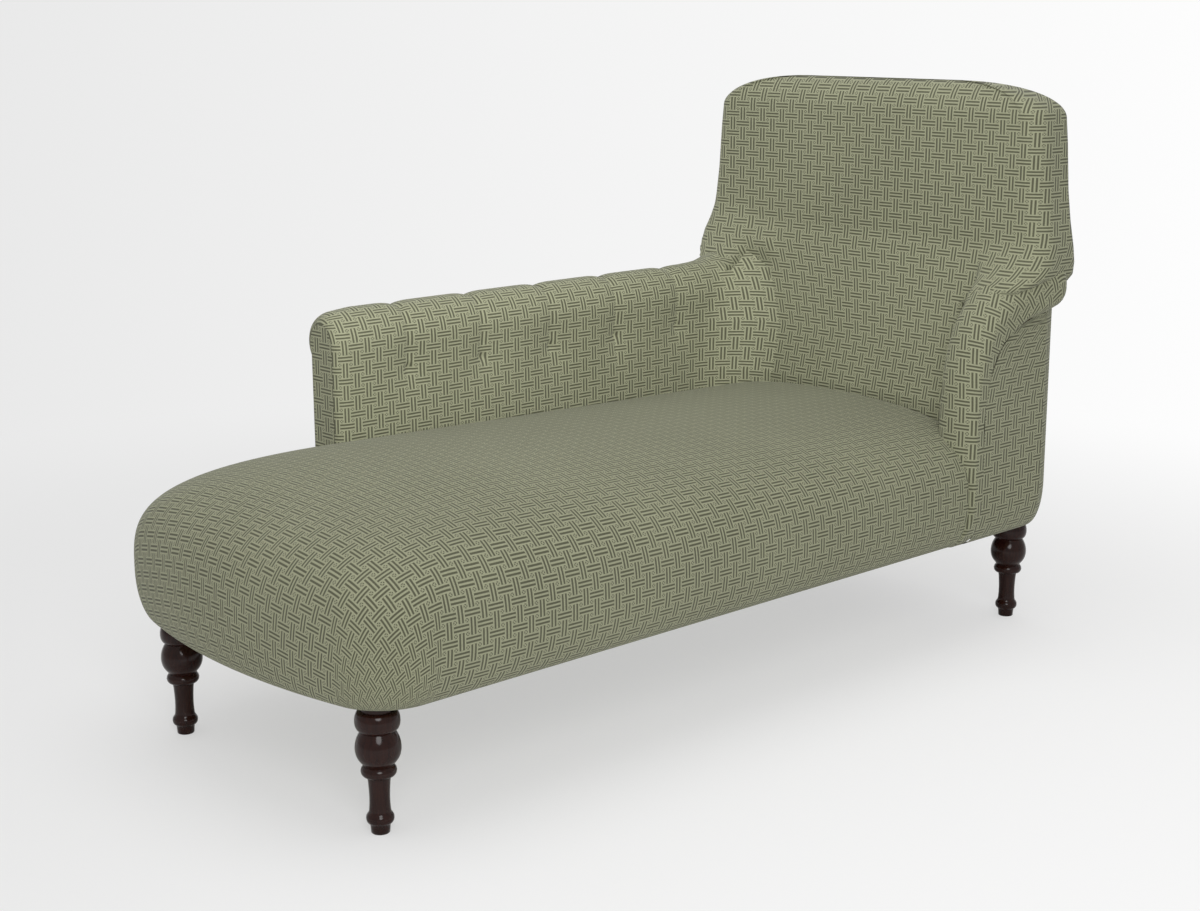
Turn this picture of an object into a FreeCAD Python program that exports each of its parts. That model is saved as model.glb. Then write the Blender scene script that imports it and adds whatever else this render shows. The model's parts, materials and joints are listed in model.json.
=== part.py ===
import FreeCAD, Part
import math
import os

# Chaise longue with a high back at the head end, one long low arm and one short swept arm.
# Millimetres. +X is the head end, +Y the side of the long arm, +Z up.
# The origin lies on the floor, under the middle of the whole piece.

os.makedirs("parts", exist_ok=True)

# Whole piece
body_length = 1511.0
body_half_width = 340.0
base_height = 182.0
total_height = 945.0
foot_x = -body_length / 2
head_x = body_length / 2

# Clearances
soft_gap = 0.3
joint_gap = 0.1
bolt_clearance = 0.2
rail_gap = 1.0

# Coverings, each with the wadding that is quilted to it
cloth = 2.0
wadding = 12.0
arm_wadding = 18.0
outside_panel = 8.0
hem = 20.0
chords_wide = 5
chords_tight = 5
chords_plain = 3
flatness = 0.000001
square_corner = 0.5
corner_limit = 0.9
edge_limit = 0.45

# Seat
seat_half_width = body_half_width - 5.0
seat_bulge_height = base_height + 80.0
seat_crown_height = base_height + 248.0
seat_crown_fall = 26.0
side_tuck = 42.0
foot_tuck = 26.0
rear_tuck = 12.0
foot_bow = 47.0
foot_corner_radius = 112.0
foot_corner_low_radius = 76.0
foot_rise = 0.298 * body_length
crown_power = 1.6
crown_angles = (20.0, 38.0, 53.0, 66.0, 77.0, 86.0)
plain_crown_angles = (40.0, 84.0)
tuck_angles = (0.0, 30.0, 60.0, 90.0)
well_radius_far = 110.0
well_radius_near = 45.0
stuffing_bottom = base_height + 118.0

# Back. The reclining front starts at the seat; each row holds a height above the base and a lean to the rear.
back_seat_x = head_x - 226.5
back_rear_x = head_x - 87.5
back_wing_height = base_height + 498.0
back_edge_radius = 35.0
back_concavity = 9.0
back_recline = ((118.0, 0.0), (228.0, 0.0), (318.0, 20.0), (418.0, 43.0), (498.0, 60.0))
back_profile = [(base_height + height, back_seat_x + lean) for height, lean in back_recline]

# Upright edges of the back. Up to the crest each row holds a share of the height between wing and crest and
# the overhang past the body; in the crest, the drop from the top, the overhang and how far the faces draw in.
back_crest_drop = 59.0
back_crest_low = total_height - back_crest_drop
back_edges = ((0.0, 47.0), (0.2, 39.0), (0.45, 32.0), (0.825, 26.0))
back_crest = (
    (back_crest_drop, 22.0, 0.0),
    (40.0, 13.0, 3.0),
    (23.0, -10.0, 10.0),
    (10.0, -60.0, 20.0),
    (0.0, -140.0, 32.0),
)
back_levels = [(back_wing_height + share * (back_crest_low - back_wing_height), body_half_width + overhang, 0.0)
               for share, overhang in back_edges]
back_levels += [(total_height - drop, body_half_width + overhang, drawn) for drop, overhang, drawn in back_crest]
outside_corner_radius = 104.0
outside_corner_low_radius = 66.0
outside_top = total_height - 37.0
outside_shoulder = ((48.0, 0.0), (23.0, 6.0), (8.0, 22.0), (0.0, 52.0))
shoulder_corner_share = 0.4

# Long arm, on the +Y side
long_arm_x = foot_x + 400.5
long_arm_inner = body_half_width - 78.0
long_arm_height = base_height + 423.0
long_arm_roll = body_half_width + 12.0
long_arm_flare = body_half_width + 48.0
roll_underside = base_height + 340.0
roll_shoulder = 62.0
roll_return = 30.0
roll_side_share = 0.45
arm_end_falls = ((0.0, 22.0), (15.0, 8.0), (45.0, 0.0))
arm_end_draws = ((0.0, 22.0), (7.0, 8.0), (24.0, 0.0))
arm_pad_thickness = 28.0
arm_end_pad = 24.0

# Rise of the long arm into the back: each row holds a distance before the rear of the padding and a height
arm_rise = ((198.0, 0.0), (148.0, 7.0), (114.0, 23.0), (92.0, 45.0), (80.0, 74.0), (0.0, 74.0))
long_arm_rise = [(back_rear_x - before, long_arm_height + height) for before, height in arm_rise]

# Tufts of the long arm
tuft_count = 5
tuft_first_x = long_arm_x + 143.0
tuft_last_gap = 74.0
tuft_last_x = long_arm_rise[0][0] - tuft_last_gap
tuft_pitch = (tuft_last_x - tuft_first_x) / (tuft_count - 1)
tuft_height = base_height + 318.0
tuft_depth = 12.0
pleat_depth = 4.0
tuft_reach = 42.0
button_radius = 8.0
button_thickness = 3.0
button_seat_share = 1.5
button_rim_share = 0.94
button_crown_share = 0.6

# Short arm, on the -Y side. Above the widest line of the seat, each row holds how far the padded front stands
# behind its foot, its height above the base, its lean in degrees, its overhang past the body, the depth of
# the band and the depth of its rounding.
short_arm_inner = body_half_width - 75.0
short_arm_x = head_x - 280.5
band_overhang = 2.0
band_depth = 34.0
band_rounding = 14.0
short_arm_sweep = (
    (0.0, 238.0, 2.0, 2.0, 34.0, 16.0),
    (6.0, 313.0, 14.0, 4.0, 42.0, 20.0),
    (24.0, 376.0, 30.0, 10.0, 54.0, 27.0),
    (61.0, 430.0, 48.0, 26.0, 70.0, 36.0),
    (115.0, 470.0, 68.0, 46.0, 88.0, 44.0),
    (165.0, 490.0, 80.0, 51.0, 96.0, 46.0),
    (192.0, 495.0, 88.0, 32.0, 84.0, 40.0),
)

# Frame
rail_outer = seat_half_width - side_tuck - cloth - rail_gap
rail_thickness = 28.0
rail_height = 80.0
frame_bottom = base_height + cloth + rail_gap
rail_top = frame_bottom + rail_height
post_outer = body_half_width - outside_panel - rail_gap
post_depth = 44.0
foot_rail_inner_x = foot_x + 115.5
head_rail_thickness = 28.0
head_rail_x = head_x - 51.5
batten_width = 50.0
batten_drop = 30.0
batten_count = 2
batten_pitch = (head_rail_x - foot_rail_inner_x) / (batten_count + 1)
batten_first_x = foot_rail_inner_x + batten_pitch - batten_width / 2
batten_xs = [batten_first_x + batten_pitch * index for index in range(batten_count)]
block_leg = 62.0
block_edge = 14.0
block_height = 28.0
board_thickness = 28.0
crest_rail_height = 70.0
crest_rail_end = 44.0
crest_rail_drop = 26.0
back_tack_rail_bottom = base_height + 248.0
arm_tack_rail_bottom = base_height + 148.0
tack_rail_height = 45.0

# Legs, each turned in one piece
leg_x_foot = foot_x + 91.0
leg_x_head = head_x - 37.0
leg_y = body_half_width - 91.0
toe_radius = 12.7
ankle_radius = 13.8
bead_height = 21.0
bead_half = 7.0
bead_radius = 18.9
bead_core = 16.0
waist_radius = 13.8
shaft_top_radius = 15.9
ring_height = base_height - 94.0
ring_half = 7.5
ring_radius = 24.2
ring_core = 20.5
waist_height = bead_height + 0.43 * (ring_height - bead_height)
ball_height = base_height - 62.0
ball_half = 23.5
ball_radius = 31.0
ball_low_core = 20.5
neck_radius = 23.6
bun_height = base_height - 23.5
bun_half = 14.0
bun_radius = 30.5
bun_top_radius = 26.0
collar_radius = 22.0

leg_sides = 24
rod_sides = 12

# Fasteners
hanger_bolt_radius = 4.0
hanger_bolt_low = base_height - 64.0
hanger_bolt_high = rail_top - 21.0
coach_bolt_radius = 4.0
nut_radius = 7.5
nut_height = 6.0
bolt_sink = 20.0
sink_share = 1.1
dowel_radius = 5.0
dowel_depth = 30.0

# Webbing
strap_width = 50.0
strap_thickness = 1.6
strap_gap = 0.4
strap_flat = 60.0
strap_hold = 22.0
long_strap_count = 5
cross_strap_count = 8
back_strap_count = 4
long_strap_margin = 150.0
cross_strap_margin = 195.5
back_strap_margin = 175.0
hessian_thickness = 1.0
deck_height = rail_top + 2 * strap_thickness + hessian_thickness + 6 * strap_gap
back_deck = strap_thickness + 2 * strap_gap


def evenly(first, last, count):
    """Evenly spaced values from first to last."""
    return [first + (last - first) * index / (count - 1) for index in range(count)]


def both_ways(reach, count):
    return evenly(-reach, reach, count)


long_strap_ys = both_ways(body_half_width - long_strap_margin, long_strap_count)
cross_strap_xs = both_ways(head_x - cross_strap_margin, cross_strap_count)
back_strap_ys = both_ways(body_half_width - back_strap_margin, back_strap_count)


def at(x, y, z):
    return FreeCAD.Vector(x, y, z)


def save(name, shape):
    shape.exportStep("parts/" + name + ".step")
    print(name, "solids", len(shape.Solids), "valid", shape.isValid(), "litres", round(shape.Volume / 1e6, 3))


def together(shapes):
    return Part.makeCompound(shapes)


def block(x0, x1, y0, y1, z0, z1):
    return Part.makeBox(x1 - x0, y1 - y0, z1 - z0, at(x0, y0, z0))


def sweep(centre, radius, start, end, chords):
    """Points on a circle, from one angle in degrees to another."""
    points = []
    for step in range(chords + 1):
        turn = math.radians(start + (end - start) * step / chords)
        points.append((centre[0] + radius * math.cos(turn), centre[1] + radius * math.sin(turn)))
    return points


def oval(start, end, chords):
    """Points on a quarter oval that leaves start along its second direction and reaches end along the first."""
    points = []
    for step in range(chords + 1):
        turn = math.pi / 2 * step / chords
        across_way = start[0] + (end[0] - start[0]) * (1 - math.cos(turn))
        up_way = start[1] + (end[1] - start[1]) * math.sin(turn)
        points.append((across_way, up_way))
    return points


def box_corners(a0, a1, b0, b1, radii, chords):
    """Points round a rectangle; radii holds one corner radius each, from (a0, b0) on against the clock."""
    centres = (
        (a0 + radii[0], b0 + radii[0]),
        (a1 - radii[1], b0 + radii[1]),
        (a1 - radii[2], b1 - radii[2]),
        (a0 + radii[3], b1 - radii[3]),
    )
    points = []
    for index, centre in enumerate(centres):
        start = 180 + 90 * index
        steps = chords if radii[index] > 1 else 1
        points += sweep(centre, radii[index], start, start + 90, steps)
    return points


def flat(height):
    return lambda x, y: at(x, y, height)


def across(x):
    return lambda y, z: at(x, y, z)


def upright(y):
    return lambda x, z: at(x, y, z)


def ring(points, place):
    return [place(a, b) for a, b in points]


def facet(corners):
    return Part.Face(Part.makePolygon(corners + corners[:1]))


def prism(points, place, direction):
    return facet(ring(points, place)).extrude(direction)


def rod(radius, length, x, y, z, side=0):
    """Many-sided rod from a start point: upwards, or along Y towards the given side."""
    if side:
        points = sweep((x, z), radius, 0, 360 - 360 / rod_sides, rod_sides - 1)
        return prism(points, upright(y), at(0, side * length, 0))
    points = sweep((x, y), radius, 0, 360 - 360 / rod_sides, rod_sides - 1)
    return prism(points, flat(z), at(0, 0, length))


def loft(rings):
    """Solid through closed rings of corners, with flat facets between each ring and the next."""
    faces = [facet(rings[0]), facet(rings[-1])]
    for low, high in zip(rings, rings[1:]):
        for index in range(len(low)):
            a, b, c, d = low[index - 1], low[index], high[index], high[index - 1]
            normal = (c - a).cross(d - b)
            if abs(normal.dot(b - a)) < flatness * normal.Length:
                faces.append(facet([a, b, c, d]))
            elif (c - a).Length < (d - b).Length:
                faces += [facet([a, b, c]), facet([a, c, d])]
            else:
                faces += [facet([a, b, d]), facet([b, c, d])]
    return Part.Solid(Part.Shell(faces))


def between(value, table):
    """Straight-line reading of a table of (position, value) pairs."""
    for (low, first), (high, second) in zip(table, table[1:]):
        if value <= high:
            return first + (second - first) * (value - low) / (high - low)
    return table[-1][1]


def tuck_levels(top, inset):
    """Heights and insets from the turned-in lower edge up to the widest line, with the share of the tuck left."""
    least = min(inset, cloth + max(0.0, inset - wadding))
    low = base_height + least
    levels = []
    for angle in tuck_angles:
        turn = math.radians(angle)
        spread = math.sin(turn)
        height = low + (top - low) * (1 - math.cos(turn))
        levels.append((height, least + (inset - least) * spread, 1 - spread))
    return levels


# Seat: outlines of one form, drawn in below its widest line and crowned above it
def seat_points(side, foot, corner, bow_chords=chords_wide, corner_chords=chords_tight):
    half = seat_half_width - side
    tip = foot_x + foot
    bow = foot_bow * half / seat_half_width
    bow_radius = (half * half + bow * bow) / (2 * bow)
    corner = min(corner, corner_limit * half)
    centre_y = half - corner
    centre_x = tip + bow_radius - math.sqrt((bow_radius - corner) ** 2 - centre_y**2)
    turn = math.degrees(math.atan2(centre_y, bow_radius + tip - centre_x))
    bowed = sweep((tip + bow_radius, 0.0), bow_radius, 180, 180 - turn, bow_chords)
    rounded = sweep((centre_x, centre_y), corner, 180 - turn, 90, corner_chords)
    far = bowed + rounded[1:] + [(back_rear_x, half)]
    near = [(x, -y) for x, y in far[1:]]
    return far + near[::-1]


def seat_wires(inset, upper):
    chords = (chords_plain, chords_plain) if inset else (chords_wide, chords_tight)
    wires = []
    for height, side, left in tuck_levels(seat_bulge_height, inset):
        corner = foot_corner_radius + (foot_corner_low_radius - foot_corner_radius) * left - side
        points = seat_points(side + side_tuck * left, side + foot_tuck * left, corner, *chords)
        wires.append(ring(points, flat(height)))
    crown = seat_crown_height - inset
    for angle in upper:
        turn = math.radians(angle)
        share = (1 - math.cos(turn)) ** crown_power
        side = inset + (seat_half_width - inset) * share
        foot = inset + (foot_rise - inset) * share
        height = seat_bulge_height + (crown - seat_bulge_height) * math.sin(turn)
        tilt = seat_crown_fall / (back_seat_x - foot_x - foot_rise) * math.sin(turn)
        corner = foot_corner_radius - inset + (seat_half_width - foot_corner_radius) * share
        place = lambda x, y, height=height, tilt=tilt: at(x, y, height - tilt * (x - foot_x - foot_rise))
        wires.append(ring(seat_points(side, foot, corner, *chords), place))
    return wires


def seat_well(inset, low):
    """Upright room that the arms and the back leave for the seat, from the height low on."""
    beyond = body_half_width + wadding
    chords = chords_plain if inset else chords_tight
    back = box_corners(foot_x - wadding, back_seat_x - inset, -short_arm_inner + inset, long_arm_inner - inset,
                       (square_corner, well_radius_near - inset, well_radius_far - inset, square_corner), chords)
    room = prism(back, flat(low), at(0, 0, total_height))
    near = block(foot_x - wadding, short_arm_x - inset, -beyond, 0, low, low + total_height)
    far = block(foot_x - wadding, long_arm_x - inset, 0, beyond, low, low + total_height)
    return room.fuse([near, far])


def outside_form(inset):
    """The straight body that the arms and the back stand on, rounded at its foot, its corners and its top."""
    top = outside_top - inset
    levels = []
    for height, side, left in tuck_levels(seat_bulge_height, inset):
        radius = outside_corner_radius + (outside_corner_low_radius - outside_corner_radius) * left - side
        levels.append((height, side + side_tuck * left, side + rear_tuck * left, radius))
    for drop, drawn in outside_shoulder:
        radius = outside_corner_radius - inset - drawn * shoulder_corner_share
        levels.append((top - drop, inset + drawn, inset + drawn, radius))
    wires = []
    for height, side, rear, radius in levels:
        half = body_half_width - side
        points = box_corners(foot_x / 2, head_x - rear, -half, half,
                             (square_corner, radius, radius, square_corner), chords_tight)
        wires.append(ring(points, flat(height)))
    return loft(wires)


outside_room = outside_form(outside_panel + rail_gap)


# Plan of the frame: the lower outlines of seat and body, drawn in to clear the coverings
def frame_plan(inset):
    drawn = cloth + inset
    foot = seat_points(side_tuck + drawn, foot_tuck + drawn, foot_corner_low_radius - drawn)
    rear = head_x - rear_tuck - drawn
    half = seat_half_width - side_tuck - drawn
    radius = outside_corner_low_radius - drawn
    end = sweep((rear - radius, half - radius), radius, 90, 0, chords_tight)
    count = len(foot) // 2
    return foot[:count] + end + [(x, -y) for x, y in end[::-1]] + foot[count + 1:]


frame_room = prism(frame_plan(rail_gap), flat(frame_bottom), at(0, 0, rail_height))


# Legs
def swell(height, radius, half, low_core, high_core, chords):
    """Points up one turned member: a rounded swell about height that rises from one core radius to another."""
    points = []
    for step in range(chords + 1):
        turn = math.pi * step / chords
        core = low_core if turn < math.pi / 2 else high_core
        points.append((core + (radius - core) * math.sin(turn), height - half * math.cos(turn)))
    return points


def leg(x, y):
    profile = [(toe_radius, 0.0), (ankle_radius, bead_height - bead_half)]
    profile += swell(bead_height, bead_radius, bead_half, bead_core, bead_core, 2)
    profile += [(waist_radius, waist_height), (shaft_top_radius, ring_height - ring_half - rail_gap)]
    profile += swell(ring_height, ring_radius, ring_half, ring_core, ring_core, 2)[:-1]
    profile += swell(ball_height, ball_radius, ball_half, ball_low_core, neck_radius, 5)[:-1]
    profile += swell(bun_height, bun_radius, bun_half, neck_radius, bun_top_radius, 3)
    profile += [(collar_radius, bun_height + bun_half + rail_gap), (collar_radius, frame_bottom)]
    last = 360 - 360 / leg_sides
    turned = loft([ring(sweep((x, y), radius, 0, last, leg_sides - 1), flat(z)) for radius, z in profile])
    depth = frame_bottom - hanger_bolt_low + rail_gap
    return turned.cut(rod(hanger_bolt_radius + bolt_clearance, depth, x, y, hanger_bolt_low - joint_gap))


leg_places = {
    "leg_foot_near": (leg_x_foot, -leg_y),
    "leg_foot_far": (leg_x_foot, leg_y),
    "leg_head_near": (leg_x_head, -leg_y),
    "leg_head_far": (leg_x_head, leg_y),
}
for name, (x, y) in leg_places.items():
    save(name, leg(x, y))

bolt_length = hanger_bolt_high - hanger_bolt_low
hanger_bolts = []
bolt_holes = []
for x, y in leg_places.values():
    hanger_bolts.append(rod(hanger_bolt_radius, bolt_length, x, y, hanger_bolt_low))
    hole_radius = hanger_bolt_radius + bolt_clearance
    bolt_holes.append(rod(hole_radius, bolt_length + bolt_clearance, x, y, hanger_bolt_low))
save("hanger_bolts", together(hanger_bolts))


# Frame posts, rails and their coach bolts
def hexagon(x, y, z, side):
    points = sweep((x, z), nut_radius, 0, 300, 5)
    return prism(points, upright(y), at(0, side * nut_height, 0))


def coach_bolt(x, z, side):
    """One coach bolt across a post and a side rail: sunk head outside, nut against the inside of the rail."""
    outer = post_outer - bolt_sink
    inner = rail_outer - rail_thickness - joint_gap - nut_height
    shank = rod(coach_bolt_radius, outer - inner, x, side * inner, z, side)
    bolt = shank.fuse([hexagon(x, side * outer, z, side), hexagon(x, side * inner, z, side)])
    reach = body_half_width - outer
    hole = rod(coach_bolt_radius + bolt_clearance, outer - inner, x, side * inner, z, side)
    sink = rod(nut_radius * sink_share, reach, x, side * (outer - joint_gap), z, side)
    return bolt, hole.fuse(sink)


back_post_x = back_rear_x + soft_gap
long_post_x = long_arm_x + arm_end_pad + rail_gap
middle_post_x = (long_post_x + back_rear_x - post_depth) / 2
board_x = short_arm_x + band_depth + rail_gap
bolt_height = frame_bottom + rail_height / 2
bolt_places = [(x + post_depth / 2, 1) for x in (back_post_x, long_post_x, middle_post_x)]
bolt_places += [(x + post_depth / 2, -1) for x in (back_post_x, board_x)]
coach_bolts = []
coach_cutters = []
for x, side in bolt_places:
    bolt, cutter = coach_bolt(x, bolt_height, side)
    coach_bolts.append(bolt)
    coach_cutters.append(cutter)
save("coach_bolts", together(coach_bolts))


def bored(shape):
    return shape.cut(coach_cutters + bolt_holes)


post_inner = rail_outer + joint_gap


def post(x, side, top):
    y0, y1 = (post_inner, post_outer) if side > 0 else (-post_outer, -post_inner)
    return bored(block(x, x + post_depth, y0, y1, frame_bottom, top).common(outside_room))


crest_bottom = outside_top - crest_rail_drop - crest_rail_height
strap_top = crest_bottom + crest_rail_end / 2
arm_rail_top = roll_underside - soft_gap
arm_rail_bottom = arm_rail_top - board_thickness
save("long_arm_post", post(long_post_x, 1, arm_rail_bottom - joint_gap))
save("long_arm_middle_post", post(middle_post_x, 1, arm_rail_bottom - joint_gap))

rail_inner = rail_outer - rail_thickness
for name, side in (("side_rail_near", -1), ("side_rail_far", 1)):
    y0, y1 = sorted((side * rail_outer, side * rail_inner))
    save(name, bored(block(foot_rail_inner_x, head_x, y0, y1, frame_bottom, rail_top).common(frame_room)))

# Foot rail, sawn to the bow and the corners of the seat, and straight head rail
foot_stock = block(foot_x, foot_rail_inner_x - joint_gap, -rail_outer, rail_outer, frame_bottom, rail_top)
save("foot_rail", bored(foot_stock.common(frame_room)))
head_reach = rail_inner - joint_gap
head_rail_end = head_rail_x + head_rail_thickness
save("head_rail", bored(block(head_rail_x, head_rail_end, -head_reach, head_reach, frame_bottom, rail_top)))

# Cross rails, hollowed on top so that the webbing can sink
hollow_radius = (head_reach**2 + batten_drop**2) / (2 * batten_drop)
hollow_turn = math.degrees(math.asin(head_reach / hollow_radius))
hollow_centre = (0.0, rail_top - batten_drop + hollow_radius)
batten_points = sweep(hollow_centre, hollow_radius, 270 - hollow_turn, 270 + hollow_turn, 2 * chords_tight)
batten_points += [(head_reach, frame_bottom), (-head_reach, frame_bottom)]
save("cross_rails", together([prism(batten_points, across(x), at(batten_width, 0, 0)) for x in batten_xs]))

# Corner blocks, glued behind the legs
blocks = []
for side in (-1, 1):
    y = side * head_reach
    for x, way in ((foot_rail_inner_x + joint_gap, 1), (head_rail_x - joint_gap, -1)):
        points = [(x, y), (x + way * block_leg, y), (x + way * block_leg, y - side * block_edge),
                  (x + way * block_edge, y - side * block_leg), (x, y - side * block_leg)]
        blocks.append(prism(points, flat(frame_bottom), at(0, 0, block_height)))
save("corner_blocks", together(blocks))

# Back frame: arched crest rail and the rail that the covers are tacked to
crest_reach = post_inner - joint_gap
crest_rise = crest_rail_height - crest_rail_end
crest_radius = (crest_reach**2 + crest_rise**2) / (2 * crest_rise)
crest_turn = math.degrees(math.asin(crest_reach / crest_radius))
crest_centre = (0.0, crest_bottom + crest_rail_height - crest_radius)
crest_points = sweep(crest_centre, crest_radius, 90 - crest_turn, 90 + crest_turn, 2 * chords_tight)
crest_points += [(-crest_reach, crest_bottom), (crest_reach, crest_bottom)]
crest_rail = prism(crest_points, across(back_post_x), at(board_thickness, 0, 0))
tack_top = back_tack_rail_bottom + tack_rail_height
back_tack_rail = block(back_post_x, back_post_x + board_thickness, -crest_reach, crest_reach,
                       back_tack_rail_bottom, tack_top)
dowels = []
dowel_holes = []
for side in (-1, 1):
    for z in (crest_bottom + crest_rail_end / 2, (back_tack_rail_bottom + tack_top) / 2):
        x = back_post_x + board_thickness / 2
        y = post_inner - dowel_depth
        dowels.append(rod(dowel_radius, 1.5 * dowel_depth, x, side * y, z, side))
        dowel_holes.append(rod(dowel_radius + joint_gap, 2 * dowel_depth, x, side * (y - joint_gap), z, side))
save("frame_dowels", together(dowels))
save("crest_rail", crest_rail.cut(dowel_holes))
save("back_tack_rail", back_tack_rail.cut(dowel_holes))
for name, side in (("back_post_near", -1), ("back_post_far", 1)):
    save(name, post(back_post_x, side, crest_bottom + crest_rail_end).cut(dowel_holes))

# Long arm frame: top rail on the posts, tack rails between them
long_top_rail = block(long_post_x, back_rear_x, post_inner, post_outer, arm_rail_bottom, arm_rail_top)
save("long_arm_top_rail", long_top_rail)
arm_tack_rails = []
bays = ((long_post_x + post_depth, middle_post_x), (middle_post_x + post_depth, back_rear_x))
for x0, x1 in bays:
    arm_tack_rails.append(block(x0 + joint_gap, x1 - joint_gap, post_inner, post_inner + board_thickness,
                                arm_tack_rail_bottom, arm_tack_rail_bottom + tack_rail_height))
save("long_arm_tack_rails", together(arm_tack_rails))


# Long arm: scroll-shaped outlines set along the arm, with tufts drawn in
def long_arm_wire(x, inset, back, drawn, top, roll, tuft, pleat):
    """Arm section at x; drawn pulls all edges in, tuft and pleat pull in the inner face and the roll."""
    inner = long_arm_inner + inset + drawn
    outer = roll - inset - drawn - pleat
    high = top - inset - drawn - pleat
    under = roll_underside + inset
    share = (outer - inner) / (long_arm_roll - long_arm_inner)
    crest = inner + (outer - inner) / 2
    shoulder = high - roll_shoulder * share
    side = under + (high - under) * roll_side_share
    points = [(back, stuffing_bottom), (inner, stuffing_bottom), (inner, tuft_height - tuft_reach),
              (inner + tuft, tuft_height)]
    chords = chords_plain if inset else chords_wide
    points += oval((inner, shoulder), (crest, high), chords)
    points += oval((outer, side), (crest, high), chords)[::-1][1:]
    points += oval((outer, side), (outer - roll_return * share, under), chords)[1:]
    points += [(back, under)]
    return ring(points, across(x))


def long_arm_form(inset, back, tufted):
    end = long_arm_x + inset
    ends = [(end + reach, long_arm_height - fall) for reach, fall in arm_end_falls]
    ends.append((back_rear_x, long_arm_height))
    sections = [(end, 0.0, 0)]
    if tufted:
        sections = [(end + reach, drawn, 0) for reach, drawn in arm_end_draws]
        for index in range(tuft_count):
            x = tuft_first_x + index * tuft_pitch
            sections += [(x - tuft_reach, 0.0, 0), (x, 0.0, 1), (x + tuft_reach, 0.0, 0)]
    wires = []
    for x, drawn, tuft in sections:
        wires.append(long_arm_wire(x, inset, back, drawn, between(x, ends), long_arm_roll,
                                   tuft * tuft_depth, tuft * pleat_depth))
    flare = ((long_arm_rise[0][0], long_arm_roll), (long_arm_rise[4][0], long_arm_flare),
             (back_rear_x, long_arm_flare))
    for x, top in long_arm_rise:
        rear = inset * (x == back_rear_x)
        wires.append(long_arm_wire(x - rear, inset, back, 0.0, top, between(x, flare), 0, 0))
    return loft(wires)


arm_back = long_arm_inner + arm_pad_thickness
arm_skin = long_arm_form(0.0, arm_back, True)
end_pad = block(long_arm_x + cloth, long_arm_x + arm_end_pad, long_arm_inner + wadding, post_outer + rail_gap,
                stuffing_bottom, roll_underside + wadding)
arm_hollow = long_arm_form(arm_wadding, arm_back + wadding, False)
arm_hollow = arm_hollow.common(block(long_arm_x, head_x, 0, body_half_width * 2, stuffing_bottom + cloth,
                                     total_height))
save("long_arm_cover", arm_skin.fuse(end_pad).cut(arm_hollow))
arm_foam = long_arm_form(arm_wadding + rail_gap, arm_back - rail_gap, False)
arm_foam = arm_foam.common(block(long_arm_x, head_x, 0, body_half_width * 2, stuffing_bottom + cloth + rail_gap,
                                 total_height))
save("long_arm_foam", arm_foam)

buttons = []
for index in range(tuft_count):
    centre = (tuft_first_x + index * tuft_pitch, tuft_height)
    face = long_arm_inner + tuft_depth * (1 - button_seat_share * button_radius / tuft_reach) - soft_gap
    levels = ((1.0, 0.0), (button_rim_share, button_thickness * button_crown_share),
              (button_crown_share, button_thickness))
    last = 360 - 360 / rod_sides
    rings = [ring(sweep(centre, button_radius * share, 0, last, rod_sides - 1), upright(face - rise))
             for share, rise in levels]
    buttons.append(loft(rings))
save("arm_buttons", together(buttons))


# Short arm: rounded bands set along a path that climbs the front, sweeps over and meets the back
short_arm_path = []
for height, _, left in tuck_levels(seat_bulge_height, 0.0):
    outer = body_half_width + band_overhang - side_tuck * left
    short_arm_path.append((short_arm_x, height, 0.0, outer, band_depth, band_rounding))
for behind, height, lean, overhang, depth, rounding in short_arm_sweep:
    outer = body_half_width + overhang
    short_arm_path.append((short_arm_x + behind, base_height + height, lean, outer, depth, rounding))


def short_arm_wire(row, inset, shift_x, shift_z, hollow, chords):
    """D-shaped band, square to the path: its padded front lies on the path and its depth goes inwards."""
    x, z, lean, outer, depth, rounding = row
    turn = math.radians(lean)
    low = short_arm_inner + inset
    high = outer - inset
    middle = (low + high) / 2
    bottom = depth + hollow
    points = [(-low, bottom)] + oval((-low, rounding), (-middle, inset), chords)
    points += oval((-high, rounding), (-middle, inset), chords)[::-1][1:]
    points += [(-high, bottom)]

    def place(sideways, inwards):
        return at(x + shift_x + inwards * math.cos(turn), sideways, z + shift_z - inwards * math.sin(turn))

    return ring(points, place)


def short_arm_form(inset, hollow):
    chords = chords_plain if inset else chords_wide
    wires = []
    last = len(short_arm_path) - 1
    for index, row in enumerate(short_arm_path):
        shift_z = min(inset, cloth + soft_gap) if index == 0 else 0.0
        shift_x = -inset if index == last else 0.0
        wires.append(short_arm_wire(row, inset, shift_x, shift_z, hollow, chords))
    return loft(wires)


rail_room = prism(frame_plan(0.0), flat(frame_bottom - rail_gap), at(0, 0, rail_height + 2 * rail_gap))
save("short_arm_cover", short_arm_form(0.0, 0.0).cut(short_arm_form(wadding, wadding)).cut(rail_room))
save("short_arm_foam", short_arm_form(wadding + rail_gap, -rail_gap).cut(rail_room))

# Sawn board of the short arm: its front edge follows the depth of the band
board_front = []
for x, z, lean, outer, depth, rounding in short_arm_path[-len(short_arm_sweep):]:
    turn = math.radians(lean)
    reach = depth + rail_gap
    board_front.append((x + reach * math.cos(turn), z - reach * math.sin(turn)))
board_front = [point for point in board_front if point[0] < back_rear_x - rail_gap]
board_points = [(board_x, 0.0)] + board_front + [(back_rear_x, board_front[-1][1]), (back_rear_x, 0.0)]
board_room = prism(board_points, upright(-body_half_width), at(0, body_half_width, 0))
board = block(board_x, back_rear_x, -post_inner - board_thickness, -post_inner, frame_bottom, total_height)
save("short_arm_board", bored(board.common(board_room).common(outside_room)))


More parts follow.
